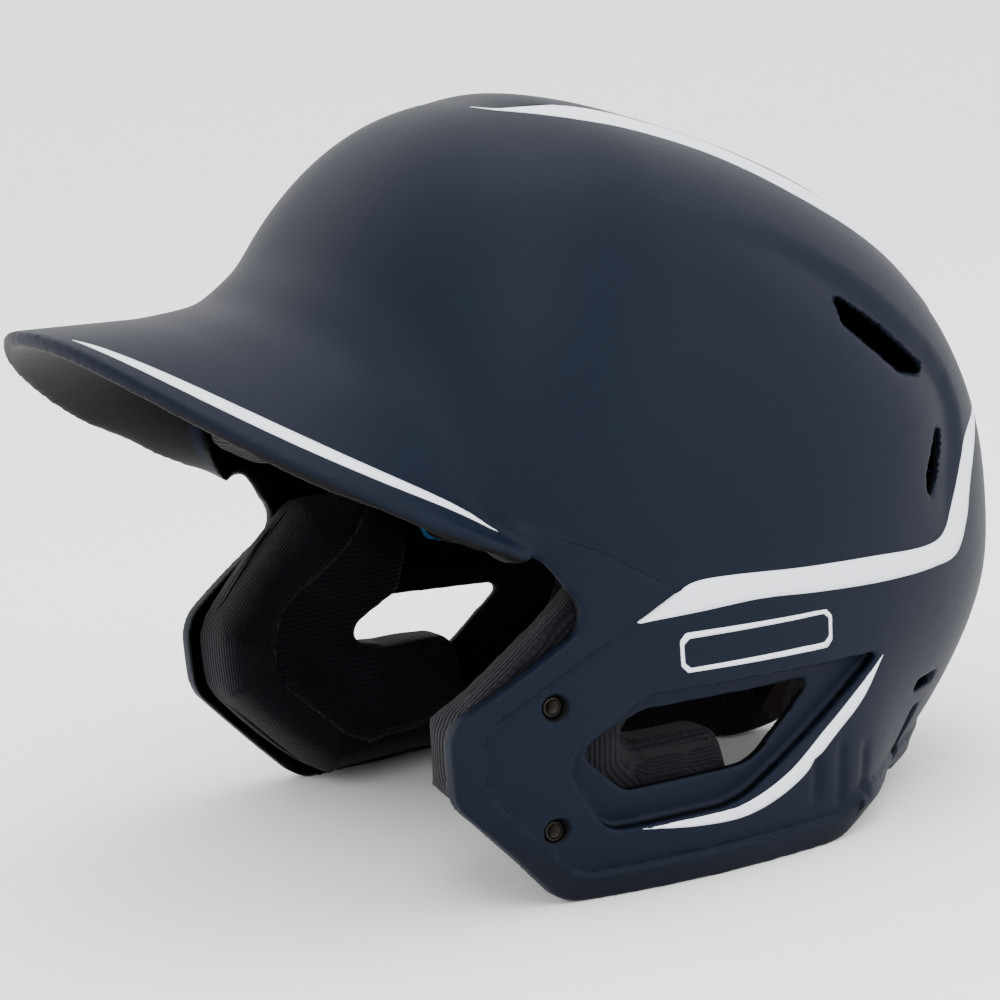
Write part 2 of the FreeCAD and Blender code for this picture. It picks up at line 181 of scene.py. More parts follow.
def smooth_where(piece, weights, repeats):
    """Smooths a piece by a share of its own at each vertex."""
    group = piece.vertex_groups.new(name="soften")
    for index in np.nonzero(weights > 0.01)[0]:
        group.add([int(index)], float(weights[index]), "REPLACE")
    change = piece.modifiers.new("soften", "SMOOTH")
    change.factor = SMOOTHING
    change.iterations = repeats
    change.vertex_group = "soften"
    apply_modifiers(piece)
    piece.vertex_groups.clear()


def mirrored(piece, name, finish):
    """The same piece on the wearer's right."""
    mesh = piece.data.copy()
    mesh.transform(Matrix.Diagonal((-1.0, 1.0, 1.0, 1.0)))
    mesh.flip_normals()
    return new_object(name, mesh, finish)


def through(points, count):
    """Evenly spread points on a smooth curve through the given ones."""
    points = np.array(points, float)
    padded = np.vstack([2 * points[0] - points[1], points, 2 * points[-1] - points[-2]])
    steps = np.linspace(0, len(points) - 1 - 1e-9, 40 * len(points))
    whole = steps.astype(int)
    t = (steps - whole)[:, None]
    p0, p1, p2, p3 = (padded[whole + k] for k in range(4))
    dense = 0.5 * (2 * p1 + (p2 - p0) * t + (2 * p0 - 5 * p1 + 4 * p2 - p3) * t ** 2
                   + (3 * p1 - p0 - 3 * p2 + p3) * t ** 3)
    run = np.concatenate([[0.0], np.cumsum(np.linalg.norm(np.diff(dense, axis=0), axis=1))])
    wanted = np.linspace(0, run[-1], count)
    return np.stack([np.interp(wanted, run, dense[:, k]) for k in range(dense.shape[1])], 1)


def line_distance(u, v, line):
    """Distance to a line in a plane, which side of it, and what runs along it."""
    best = np.full(len(u), 1e9)
    side = np.zeros(len(u))
    carried = np.zeros(len(u))
    for first, second in zip(line, line[1:]):
        a = np.array(first[:2], float)
        along = np.array(second[:2], float) - a
        length = np.hypot(*along)
        share = np.clip(((u - a[0]) * along[0] + (v - a[1]) * along[1]) / length ** 2, 0, 1)
        du = u - a[0] - share * along[0]
        dv = v - a[1] - share * along[1]
        gap = np.hypot(du, dv)
        nearer = gap < best
        best = np.where(nearer, gap, best)
        side = np.where(nearer, np.sign(along[0] * dv - along[1] * du), side)
        if len(first) > 2:
            carried = np.where(nearer, first[2] + share * (second[2] - first[2]), carried)
    return best, side, carried


def outermost(place, near, away):
    """The value between near and away at which place(value) lies on the form."""
    for _ in range(30):
        middle = (near + away) / 2
        if form_value(np.array([place(middle)], float))[0] < 1.0:
            near = middle
        else:
            away = middle
    return near


# ------------------------------------------------------------- the bill's lines

BILL_HALF_WIDTH, BILL_REACH, BILL_POWER = 100.5, 100.0, 2.2
BILL_START_Y, BILL_START_Z = -46.6, 97.0
EDGE_RISE, ROOT_RISE = 64.0, 61.0


def bill_edge(along):
    """Edge of the bill: along runs from -1 at one temple over 0 in front to 1."""
    angle = along * math.pi / 2
    radius = (abs(math.sin(angle) / BILL_HALF_WIDTH) ** BILL_POWER
              + abs(math.cos(angle) / BILL_REACH) ** BILL_POWER) ** (-1 / BILL_POWER)
    ahead = radius * math.cos(angle) / BILL_REACH
    return np.array([radius * math.sin(angle), BILL_START_Y - BILL_REACH * ahead,
                     BILL_START_Z + EDGE_RISE * (0.7 * ahead + 0.3 * ahead ** 3)])


def bill_root(along):
    """Where the bill's top meets the bowl."""
    edge = bill_edge(along)
    ahead = (BILL_START_Y - edge[1]) / BILL_REACH
    x = edge[0] * (1.0 - 0.5 * ahead * (1.0 - ahead) - 0.03)
    z = BILL_START_Z + ROOT_RISE * ahead ** 1.05
    return np.array([x, outermost(lambda y: (x, y, z), CENTRE_Y, -FAR), z])


# ------------------------------------------------------------------- materials

def node_group(name, inputs, outputs):
    group = bpy.data.node_groups.new(name, "ShaderNodeTree")
    for label, value in inputs:
        socket = group.interface.new_socket(label, in_out="INPUT", socket_type="NodeSocketFloat")
        socket.default_value = value
    for label in outputs:
        group.interface.new_socket(label, in_out="OUTPUT", socket_type="NodeSocketFloat")
    return group, group.nodes.new("NodeGroupInput"), group.nodes.new("NodeGroupOutput")


def add(tree, kind, **settings):
    made = tree.nodes.new(kind)
    for key, value in settings.items():
        setattr(made, key, value)
    return made


def maths(tree, operation, *values, clamp=False):
    """The output of a math node fed with numbers and other nodes' outputs."""
    made = add(tree, "ShaderNodeMath", operation=operation, use_clamp=clamp)
    for index, value in enumerate(values):
        if isinstance(value, (int, float)):
            made.inputs[index].default_value = value
        else:
            tree.links.new(value, made.inputs[index])
    return made.outputs[0]


def blend_colour(tree, share, first, second):
    """Mixes two colours, or outputs that carry colours."""
    made = add(tree, "ShaderNodeMix", data_type="RGBA")
    tree.links.new(share, made.inputs[0])
    for index, value in ((6, first), (7, second)):
        if isinstance(value, tuple):
            made.inputs[index].default_value = value + (1.0,)
        else:
            tree.links.new(value, made.inputs[index])
    return made.outputs[2]


def attribute(tree, name):
    return add(tree, "ShaderNodeAttribute", attribute_name=name).outputs["Fac"]


def grain_group():
    """Fine moulded grain and slow mottling, as values that change over the surface."""
    group, start, end = node_group(
        "surface_grain", (("Grain Scale", 900.0), ("Mottle Scale", 18.0)), ("Grain", "Mottle"))
    place = add(group, "ShaderNodeTexCoord")
    for label, detail in (("Grain", 4.0), ("Mottle", 3.0)):
        texture = add(group, "ShaderNodeTexNoise")
        texture.inputs["Detail"].default_value = detail
        group.links.new(place.outputs["Object"], texture.inputs["Vector"])
        group.links.new(start.outputs[label + " Scale"], texture.inputs["Scale"])
        group.links.new(texture.outputs["Fac"], end.inputs[label])
    return group


def knit_group():
    """Ribs of a knit: rounded rows, broken into stitches along their length."""
    group, start, end = node_group(
        "rib_knit", (("Rib", 0.0), ("Run", 0.0), ("Rib Width", 1.7), ("Stitch Length", 2.4)),
        ("Height", "Stitch"))
    rib = maths(group, "DIVIDE", start.outputs["Rib"], start.outputs["Rib Width"])
    row = maths(group, "FLOOR", rib)
    across = maths(group, "ABSOLUTE", maths(group, "SINE", maths(group, "MULTIPLY", rib, math.pi)))
    stagger = maths(group, "MULTIPLY", row, 0.37)
    stitches = maths(group, "DIVIDE", start.outputs["Run"], start.outputs["Stitch Length"])
    run = maths(group, "ADD", stitches, stagger)
    along = maths(group, "ABSOLUTE", maths(group, "SINE", maths(group, "MULTIPLY", run, math.pi)))
    stitch = maths(group, "MULTIPLY", maths(group, "POWER", across, 0.8), maths(group, "POWER", along, 0.5))
    group.links.new(maths(group, "MULTIPLY_ADD", stitch, 0.45, maths(group, "MULTIPLY", across, 0.55)),
                    end.inputs["Height"])
    group.links.new(stitch, end.inputs["Stitch"])
    return group


GRAIN = grain_group()
KNIT = knit_group()


def material(name, roughness, specular, metallic, grain_scale, mottle_scale):
    """A material with its main shader and the shared grain."""
    made = bpy.data.materials.new(name)
    made.use_nodes = True
    tree = made.node_tree
    shader = tree.nodes["Principled BSDF"]
    shader.inputs["Roughness"].default_value = roughness
    shader.inputs["Specular IOR Level"].default_value = specular
    shader.inputs["Metallic"].default_value = metallic
    grain = add(tree, "ShaderNodeGroup", node_tree=GRAIN)
    grain.inputs["Grain Scale"].default_value = grain_scale
    grain.inputs["Mottle Scale"].default_value = mottle_scale
    return made, tree, shader, grain


def bump(tree, shader, height, strength, distance):
    made = add(tree, "ShaderNodeBump")
    made.inputs["Strength"].default_value = strength
    made.inputs["Distance"].default_value = distance * MM
    tree.links.new(height, made.inputs["Height"])
    tree.links.new(made.outputs["Normal"], shader.inputs["Normal"])


def spread_roughness(tree, shader, source, low, high):
    tree.links.new(maths(tree, "MULTIPLY_ADD", source, high - low, low), shader.inputs["Roughness"])


def plain_finish(name, dark, light, rough, specular=0.4, metallic=0.0, grain=(1400.0, 14.0),
                 relief=(0.25, 0.05)):
    """A moulded, painted, foamed or machined finish with grain in its colour, gloss and surface."""
    made, tree, shader, texture = material(name, rough[0], specular, metallic, *grain)
    tree.links.new(blend_colour(tree, texture.outputs["Mottle"], dark, light), shader.inputs["Base Color"])
    spread_roughness(tree, shader, texture.outputs["Grain"], *rough)
    bump(tree, shader, texture.outputs["Grain"], *relief)
    return made


def shell_finish():
    """Matte navy outside; near-black where the attribute says, which is the bare moulding inside the bowl and
    painted shade under the bill and in the nuts' counterbores.
    """
    made, tree, shader, grain = material("navy_matte_shell", 0.5, 0.09, 0.0, 1400.0, 14.0)
    paint = blend_colour(tree, grain.outputs["Mottle"], (0.0017, 0.0037, 0.0104), (0.0023, 0.0047, 0.0122))
    # near-black blended in by the 'inside' attribute: bare moulding in the bowl, painted shade under the bill
    # and in the nut counterbores
    tree.links.new(blend_colour(tree, attribute(tree, "inside"), paint, (0.0005, 0.0006, 0.0010)),
                   shader.inputs["Base Color"])
    spread_roughness(tree, shader, grain.outputs["Grain"], 0.46, 0.60)
    bump(tree, shader, grain.outputs["Grain"], 0.25, 0.05)
    return made


def knit_finish(name, dark, light, thread):
    """Ribbed knit that reads its rows, stitches and seams from the piece's attributes; its colour runs from
    dark in the grooves, painted shade, to light on each stitch's crest, a painted highlight.
    """
    made, tree, shader, grain = material(name, 0.85, 0.12, 0.0, 2600.0, 40.0)
    shader.inputs["Sheen Weight"].default_value = 0.04
    shader.inputs["Sheen Roughness"].default_value = 0.45
    knit = add(tree, "ShaderNodeGroup", node_tree=KNIT)
    knit.inputs["Rib Width"].default_value = 1.5
    knit.inputs["Stitch Length"].default_value = 2.6
    tree.links.new(attribute(tree, "rib"), knit.inputs["Rib"])
    tree.links.new(attribute(tree, "run"), knit.inputs["Run"])
    # painted highlight on the stitches' crests and painted shade in the grooves between them, varied by the
    # mottle
    stitch_highlight_share = maths(tree, "MULTIPLY", knit.outputs["Stitch"],
                 maths(tree, "MULTIPLY_ADD", grain.outputs["Mottle"], 0.9, 0.25), clamp=True)
    cloth = blend_colour(tree, stitch_highlight_share, dark, light)
    near_seam = maths(tree, "LESS_THAN", attribute(tree, "seam"), 0.55)
    wave = maths(tree, "SINE", maths(tree, "MULTIPLY", attribute(tree, "run"), 2.0))
    gaps = maths(tree, "GREATER_THAN", wave, -0.2)
    sewn = maths(tree, "MULTIPLY", near_seam, gaps)
    tree.links.new(blend_colour(tree, sewn, cloth, thread), shader.inputs["Base Color"])
    height = maths(tree, "MULTIPLY_ADD", sewn, 0.6,
                   maths(tree, "MULTIPLY_ADD", grain.outputs["Grain"], 0.25, knit.outputs["Height"]))
    spread_roughness(tree, shader, grain.outputs["Grain"], 0.72, 0.92)
    bump(tree, shader, height, 0.8, 0.55)
    return made


NAVY = shell_finish()
WHITE = plain_finish("white_stripe_paint", (0.62, 0.66, 0.74), (0.70, 0.73, 0.80), (0.38, 0.5))
# the first colour is the painted shade in the knit's grooves, the second the painted highlight on its stitches
KNIT_CLOTH = knit_finish("charcoal_rib_knit", (0.0004, 0.0003, 0.0007), (0.0072, 0.0060, 0.0125),
                         (0.040, 0.037, 0.050))
FOAM = plain_finish("brown_black_foam", (0.010, 0.007, 0.006), (0.022, 0.016, 0.014), (0.85, 0.98), 0.2,
                    grain=(700.0, 60.0), relief=(0.7, 0.5))
EVA = plain_finish("blue_eva_sheet", (0.010, 0.11, 0.30), (0.016, 0.15, 0.37), (0.6, 0.75), 0.35,
                   grain=(1800.0, 30.0), relief=(0.3, 0.1))
HOOK = plain_finish("black_hook_tape", (0.004, 0.004, 0.005), (0.012, 0.012, 0.013), (0.8, 0.95), 0.25,
                    grain=(2200.0, 80.0), relief=(0.9, 0.4))
NUT_METAL = plain_finish("dark_brass_nut", (0.010, 0.009, 0.008), (0.022, 0.019, 0.015), (0.34, 0.46), 0.5, 0.9,
                         grain=(3000.0, 200.0), relief=(0.15, 0.02))


# ----------------------------------------------------------------------- shell

# line at the foot of the raised rear panel: (y, z, depth of the scoop in front of it)
SCOOP_LINE = (
    (10, 178, 0.0), (32, 172, 0.5), (47, 166.5, 1.1), (65, 156, 1.9), (77, 147.5, 2.2), (88, 138, 2.3),
    (97.5, 129.5, 2.3), (103.5, 122, 2.2), (105.5, 114, 2.1), (103.5, 105, 1.9), (99, 97, 1.5), (96, 88, 0.8),
    (95, 78, 0.0),
)
# edge of the raised crown panel: (x, y)
CROWN_EDGE = ((0, -17), (10, -16), (19, -14), (28, -8), (34, 2), (37, 13), (36.5, 31), (37, 46), (40.5, 60),
              (43, 74), (42.5, 90), (38, 106), (34, 120), (30, 132))
# rounds of smoothing at the bill's root, along its edge and at its ends
ROOT_ROUNDS, EDGE_ROUNDS, END_ROUNDS = 420, 12, 90
# where the bill runs out at the temples: (y, z)
TEMPLE_ENDS = ((-47, 97), (-51, 99), (-55, 101))
MOST_TRIANGLES = 190000
# upright flutes at the rear lower corner: (y, lower end, upper end)
FLUTES = ((37.0, 15.0, 27.0), (46.5, 12.0, 29.0), (57.0, 11.0, 26.0))
# inner edge of the raised band round the flap, crisped where the moulding's step is sharp: (y, z)
BAND_EDGE = ((-53, 108), (-30, 97.5), (-9, 84), (-47, 66), (-67.1, 54), (-66.6, 37), (-39.6, 7.5), (47, 7.5))


def band_crispness(y, z):
    """Sharpens the band's step again after the shell has been smoothed."""
    gap, side, _ = line_distance(y, z, BAND_EDGE)
    across = side * gap
    return 1.5 * (ramp(across, -0.5, 0.5) - ramp(across, -2.2, 2.2)) * ramp(y, -50.0, -42.0) ** (z > 90.0)


def shell_relief(points):
    """How far each point of the outer surface stands proud of the plain form, in millimetres."""
    x, y, z = np.abs(points[:, 0]), points[:, 1], points[:, 2]
    # the scoop in front of the raised rear panel
    gap, side, depth = line_distance(y, z, SCOOP_LINE)
    behind = -depth * (1.0 - ramp(gap, 0.0, 8.0))
    ahead = -depth * np.exp(-(gap / 13.0) ** 1.3)
    relief = np.where(side > 0, behind, ahead) * (x > 45)
    # the raised crown panel
    edge, inside, _ = line_distance(x, y, CROWN_EDGE)
    proud = np.where(inside > 0, 1.0, -1.0) * edge
    relief += 1.8 * ramp(proud, -2.0, 2.0) * ramp(z, 105.0, 150.0) * ramp(y, -13.0, 4.0)
    for flute_y, low, high in FLUTES:
        across = np.exp(-((y - flute_y) / 1.9) ** 2)
        relief -= 0.9 * across * ramp(z, low - 3, low + 2) * (1 - ramp(z, high - 3, high + 4)) * (x > 60)
    relief -= band_crispness(y, z) * (x > 60)
    # the lip along the rear lower rim
    relief += 1.3 * np.exp(-((z - 9.5) / 2.6) ** 2) * ramp(y, 48.0, 56.0) * (x > 50)
    return relief


def nearness(points, line, near, far):
    """1 within near of a line of points, falling to 0 at far from it."""
    best = np.full(len(points), 1e9)
    for place in line:
        best = np.minimum(best, np.linalg.norm(points - place, axis=1))
    return 1.0 - ramp(best, near, far)


def soften_bill(shell):
    """Sweeps the bill's root into the bowl, and rounds its edge and its ends at the temples."""
    points = read_points(shell.data)
    root = [bill_root(k / 30.0) + np.array([0, 0, 4.0]) for k in range(-27, 28)]
    weights = nearness(points, root, 12.0, 34.0) * ramp(points[:, 2], 108.0, 122.0)
    smooth_where(shell, weights, ROOT_ROUNDS)
    points = read_points(shell.data)
    rim = [bill_edge(k / 60.0) for k in range(-59, 60)]
    smooth_where(shell, nearness(points, rim, 5.0, 9.0), EDGE_ROUNDS)
    points = read_points(shell.data)
    ends = [np.array([turn * 100.2, y, z]) for turn in (-1, 1) for y, z in TEMPLE_ENDS]
    smooth_where(shell, nearness(points, ends, 4.0, 11.0), END_ROUNDS)


def raise_relief(shell):
    """Moves the outer skin out to the raised and sunk parts that the plain form lacks."""
    points = read_points(shell.data)
    out = outward(points)
    facing = np.sum(out * read_normals(shell.data), 1)
    on_skin = (facing > 0.35) & (np.abs(form_value(points) - 1.0) < 0.012)
    write_points(shell.data, points + out * (shell_relief(points) * on_skin)[:, None])


def mark_bare_inside_and_shade(shell):
    """Marks the near-black: bare moulding inside the bowl, and painted shade on the bill's downward-facing
    underside and in the nuts' counterbores.
    """
    points = read_points(shell.data)
    normals = read_normals(shell.data)
    value = form_value(points)
    facing = np.sum(outward(points) * normals, 1)
    bowl_side = (value < 0.985) & (facing < 0.3)
    # painted shade: the bill's downward-facing underside is darkened where shade falls
    shade_under_bill = ramp(value, 1.01, 1.02) * ramp(-normals[:, 2], 0.1, 0.45)
    # painted shade in the nuts' counterbores
    shade_in_counterbores = np.zeros(len(points))
    for height in NUT_HEIGHTS:
        away = np.hypot(points[:, 1] - NUT_Y, points[:, 2] - height)
        shade_in_counterbores = np.maximum(shade_in_counterbores, (1.0 - ramp(away, 3.6, 4.3)) * (value < 0.996))
    # the 'inside' attribute carries both the bare moulding and the painted shade
    settled(shell, "inside", np.maximum(np.maximum(bowl_side, shade_under_bill), shade_in_counterbores))


def make_shell():
    """The moulded shell: its sweeps softened, its relief raised, and its bare side and painted shade marked."""
    shell = new_object("shell_moulded", merged_copy("shell_mesh", "shell"), NAVY)
    remesh(shell, 0.85)
    smooth(shell, 4)
    soften_bill(shell)
    raise_relief(shell)
    thin = shell.modifiers.new("thin", "DECIMATE")
    thin.ratio = min(1.0, MOST_TRIANGLES / (2.0 * len(shell.data.polygons)))
    apply_modifiers(shell)
    mark_bare_inside_and_shade(shell)
    set_smooth(shell.data)
    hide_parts("shell")
    return shell


SHELL = make_shell()


# --------------------------------------------------------------------- stripes

PAINT_LIFT, PAINT_THICKNESS = 0.2, 0.3


def wrap_to_shell(piece):
    """Lays a flat piece just over the shell and gives it the thickness of a coat of paint."""
    change = piece.modifiers.new("wrap", "SHRINKWRAP")
    change.target = SHELL
    change.wrap_method = "NEAREST_SURFACEPOINT"
    change.wrap_mode = "ABOVE_SURFACE"
    change.offset = PAINT_LIFT * MM
    skin = piece.modifiers.new("skin", "SOLIDIFY")
    skin.thickness = PAINT_THICKNESS * MM
    skin.offset = -1.0
    apply_modifiers(piece)
    set_smooth(piece.data)


def grid_between(low, high, rows):
    """A grid between two lines with equal numbers of points."""
    columns = len(low) - 1
    bm = bmesh.new()
    bmesh.ops.create_grid(bm, x_segments=columns, y_segments=rows, size=0.5)
    for vert in bm.verts:
        column = int(round((vert.co.x + 0.5) * columns))
        share = vert.co.y + 0.5
        vert.co = Vector(low[column] * (1 - share) + high[column] * share)
    return bm


def ribbon(name, upper, lower, columns, rows=4, push=1.2):
    """A painted stripe between two lines, laid on the shell."""
    bm = grid_between(through(lower, columns + 1), through(upper, columns + 1), rows)
    bmesh.ops.recalc_face_normals(bm, faces=bm.faces)
    mesh = as_mesh(name, bm)
    points = read_points(mesh) * MM
    write_points(mesh, points + outward(points) * push)
    if np.sum(read_normals(mesh) * outward(points)) < 0:
        mesh.flip_normals()
    piece = new_object(name + "_left", mesh, WHITE)
    wrap_to_shell(piece)
    mirrored(piece, name + "_right", WHITE)


def on_top(places):
    """Points on the form straight above (x, y) places."""
    return [(x, y, outermost(lambda z: (x, y, z), CENTRE_Z, FAR)) for x, y in places]


def bill_line(start, end, width):
    """Points on the bill's top, a little way in from its edge, width further in at the middle."""
    line = []
    steps = 16.0
    for step in range(17):
        along = start + (end - start) * step / steps
        edge = bill_edge(along)
        way = bill_root(along) - edge
        way /= np.linalg.norm(way)
        inward = 4.5 + 3.5 * step / steps + width * math.sin(math.pi * step / steps) ** 0.6
        line.append(edge + way * inward + np.array([0.0, 0.0, 3.2]))
    return line


# each stripe's upper and lower line, front to back: (x, y, z), and (x, y) where it runs on top
ribbon("side_stripe",
       [(103, -21.6, 77), (103, -9.5, 82.8), (103, -2.6, 85.3), (102, 10.4, 85), (100, 32.4, 83),
        (95, 59.4, 81), (87, 83.4, 79), (82, 94.4, 81), (78, 100.4, 89), (73, 107.4, 99), (66, 114.4, 106),
        (48, 130.4, 111)],
       [(103, -21.6, 77), (103, -1.6, 77), (102, 18.4, 77), (99, 39.4, 75), (94, 63.4, 73), (85, 86.4, 72),
        (78, 100.4, 73), (74, 107.4, 81), (70, 112.4, 92), (62, 120.4, 102), (48, 130.4, 111)], 220)
ribbon("ear_stripe",
       [(100, -22, 19), (100, -4, 19.4), (99, 10, 19.6), (99, 25.5, 25), (97, 39.5, 35), (95, 51.5, 43),
        (93, 64, 51.5)],
       [(100, -22, 19), (99, -4, 16.4), (99, 13, 16), (98, 29, 21.5), (96, 43.5, 32.5), (94, 55.5, 41),
        (93, 64, 51.5)], 140)
ribbon("crown_stripe",
       on_top([(16, -14.5), (25, -10.5), (31.5, 0), (34, 13), (33.5, 31), (34, 46), (37.5, 60), (40, 74),
               (39.5, 89), (36, 106), (32, 120), (30, 128)]),
       on_top([(16, -14.5), (26, -11.5), (34, -4.5), (39, 4), (41, 14), (40, 31), (40.5, 46), (44, 60),
               (47, 74), (46, 89), (41, 107), (35, 121), (30, 128)]), 260, 9)
ribbon("bill_stripe", bill_line(0.12, 0.945, 5.0), bill_line(0.12, 0.945, 0.0), 180, push=0.0)


def along_corners(corners, columns):
    """Evenly numbered points along straight runs between corners."""
    corners = np.array(corners, float)
    run = np.concatenate([[0.0], np.cumsum(np.linalg.norm(np.diff(corners, axis=0), axis=1))])
    share = np.linspace(0, run[-1], columns + 1)
    return np.stack([np.interp(share, run, corners[:, k]) for k in range(3)], 1)


def name_plate():
    """Blank outlined plate on each side, where a name would be."""
    corners = [(y, z + (y + 9.0) * -0.05) for y, z in
               ((-7, 61), (-9, 63), (-9, 70), (-7, 72), (42, 72), (44, 70), (44, 63), (42, 61), (-7, 61))]
    outer = [(103.0, y, z) for y, z in corners]
    inner = [(103.0, 17.5 + (y - 17.5) * 0.957, 65.2 + (z - 65.2) * 0.74) for y, z in corners]
    columns = 160
    bm = grid_between(along_corners(outer, columns), along_corners(inner, columns), 2)
    bmesh.ops.remove_doubles(bm, verts=bm.verts, dist=0.01)
    mesh = as_mesh("name_plate", bm)
    write_points(mesh, read_points(mesh) * MM)
    if np.sum(read_normals(mesh)[:, 0]) < 0:
        mesh.flip_normals()
    piece = new_object("blank_plate_left", mesh, WHITE)
    wrap_to_shell(piece)
    mirrored(piece, "blank_plate_right", WHITE)


name_plate()


# --------------------------------------------------------------------- padding

AIR_PRESSURE, AIR_FRAMES = 4.0, 15


def wall_gap(points, inset):
    """Distance inwards from the inset form, in millimetres, about right near it."""
    step = 1.0
    slope = []
    for axis in range(3):
        move = np.zeros(3)
        move[axis] = step
        rise = form_value(points + move, inset) - form_value(points - move, inset)
        slope.append(rise / (2 * step))
    return (1.0 - form_value(points, inset)) / np.linalg.norm(np.stack(slope, 1), axis=1)


def puff(piece, cap):
    rest = read_points(piece.data)
    cloth = piece.modifiers.new("air", "CLOTH")
    cloth.settings.use_pressure = True
    cloth.settings.uniform_pressure_force = AIR_PRESSURE
    cloth.settings.effector_weights.gravity = 0.0
    cloth.settings.quality = 4
    scene = bpy.context.scene
    for number in range(1, AIR_FRAMES + 1):
        scene.frame_set(number)
    apply_modifiers(piece)
    scene.frame_set(1)
    moved = read_points(piece.data) - rest
    moved *= np.minimum(1.0, cap / np.maximum(np.linalg.norm(moved, axis=1), 1e-6))[:, None]
    out = outward(rest)
    away = np.sum(moved * out, 1)
    held = away * ramp(wall_gap(rest, WALL), 3.0, 9.0)
    write_points(piece.data, rest + moved + out * (held - away)[:, None])


def padded_piece(name, nodes, voxel=3.0, cap=3.0):
    """A pad as one soft, crowned form over its plate, foam and cover."""
    piece = new_object(name, merged_copy(name, *nodes), KNIT_CLOTH)
    remesh(piece, voxel)
    smooth(piece, 5)
    puff(piece, cap)
    finer = piece.modifiers.new("finer", "SUBSURF")
    finer.levels = finer.render_levels = 1
    apply_modifiers(piece)
    set_smooth(piece.data)
    return piece


def finish_pad(piece, fill, *nodes):
    """Hides the CAD nodes that a pad stands for."""
    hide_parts(*nodes)


# the cheek pad's outline, the part of it on the outside, and its sewn seam: (y, z)
CHEEK = ((-33, 88), (-71, 54.5), (-71, 34.5), (-41, 4), (10, 4), (14, 16), (11, 30), (-16, 30), (-22.5, 38),
         (-22.5, 47), (-5, 56), (3, 77), (-10, 88), (-33, 88))
CHEEK_OUTSIDE = ((3, 77), (-10, 88), (-33, 88), (-71, 54.5), (-71, 34.5), (-41, 4), (10, 4))
CHEEK_SEAM = ((-14, 82), (-25, 72), (-38, 64), (-48, 57), (-52.5, 47), (-51, 35), (-41, 25), (-33, 17),
              (-25, 13), (-7, 14), (3, 17))


def crown_cheek(piece):
    """Rounds the pad down towards its outline, so that it is thickest along its seam."""
    points = read_points(piece.data)
    depth = np.maximum(wall_gap(points, WALL), 0.0)
    edge_gap, _, _ = line_distance(points[:, 1], points[:, 2], CHEEK_OUTSIDE)
    share = 1.0 - np.clip(edge_gap / 18.0, 0, 1)
    height = 0.42 + 0.58 * np.sqrt(1.0 - share ** 2)
    points[:, 0] += depth * (1.0 - height) / np.maximum(outward(points)[:, 0], 0.6)
    swell = ramp(depth, 3.0, 11.0) * ramp(points[:, 2], 14.0, 30.0) * (1.0 - ramp(points[:, 2], 36.0, 48.0))
    points[:, 2] += 10.0 * swell * ramp(points[:, 1], -30.0, -14.0)
    write_points(piece.data, points)


def drop_rear(piece):
    """Lets the rear pad hang down to the rim."""
    points = read_points(piece.data)
    ahead = (1.0 - ramp(points[:, 1], 58.0, 90.0)) * (1.0 - ramp(points[:, 2], 34.0, 64.0))
    points[:, 2] -= 7.0 * (1.0 - ramp(points[:, 2], 8.0, 40.0))
    points[:, 0] -= 4.0 * ahead
    points[:, 1] -= 15.0 * ahead
    points[:, 2] = np.maximum(points[:, 2], 0.8)
    write_points(piece.data, points)


def dress_cheek(piece):
    """Rows of the knit: lengthwise round the edge strip, level on the inner panel; and the seam between."""
    points = read_points(piece.data)
    y, z = points[:, 1], points[:, 2]
    depth = wall_gap(points, WALL)
    inner = ramp(depth, 9.0, 13.0)
    gap, side, _ = line_distance(y, z, CHEEK_SEAM)
    groove = np.exp(-(gap / 1.3) ** 2) * inner
    write_points(piece.data, points - read_normals(piece.data) * (1.5 * groove)[:, None])
    edge_gap, _, _ = line_distance(y, z, CHEEK)
    panel = (side > 0) & (depth > 9.0)
    turn = np.arctan2(z - 44.0, -(y + 22.0)) * 42.0
    settled(piece, "rib", np.where(panel, z, depth + edge_gap))
    settled(piece, "run", np.where(panel, y, turn))
    settled(piece, "seam", np.where(depth > 9.0, gap, 50.0))


def dress_round(piece, rib_height=False):
    """Rows of the knit upright, or level, around the head."""
    points = read_points(piece.data)
    turn = np.arctan2(points[:, 0], points[:, 1] - 20.0) * 90.0
    settled(piece, "rib", points[:, 2] if rib_height else turn)
    settled(piece, "run", turn if rib_height else points[:, 2])
    settled(piece, "seam", np.full(len(points), 50.0))


def pads_on_sides():
    """The three pads on the wearer's left, and their mirror images."""
    for name, fill, voxel, cap in (("cheek", 0.85, 2.5, 2.0), ("side", 0.8, 3.0, 3.0), ("rear", 0.8, 3.0, 3.0)):
        parts = [name + "_base_%s", name + "_foam_%s", name + "_cover_%s"]
        own = [part % "left" for part in parts]
        piece = padded_piece(name + "_pad_left", own, voxel, cap)
        if name == "cheek":
            crown_cheek(piece)
            dress_cheek(piece)
        else:
            if name == "rear":
                drop_rear(piece)
            dress_round(piece)
        twin = mirrored(piece, name + "_pad_right", KNIT_CLOTH)
        finish_pad(piece, fill, own[1], own[2])
        finish_pad(twin, fill, parts[1] % "right", parts[2] % "right")


def pads_in_middle():
    for name in ("brow", "back", "crown"):
        own = [name + "_base", name + "_foam", name + "_cover"]
        piece = padded_piece(name + "_pad", own)
        dress_round(piece, name == "brow")
        finish_pad(piece, 0.8, own[1], own[2])


# the brow plate's front outline: (y, z)
BROW_FRONT = ((-90, 170), (-79, 160), (-70, 134), (-65, 113), (-43, 101), (-30, 110))
# how far the plates stay behind the pads' outlines
CHEEK_MARGIN, BROW_MARGIN = 3.2, 9.0


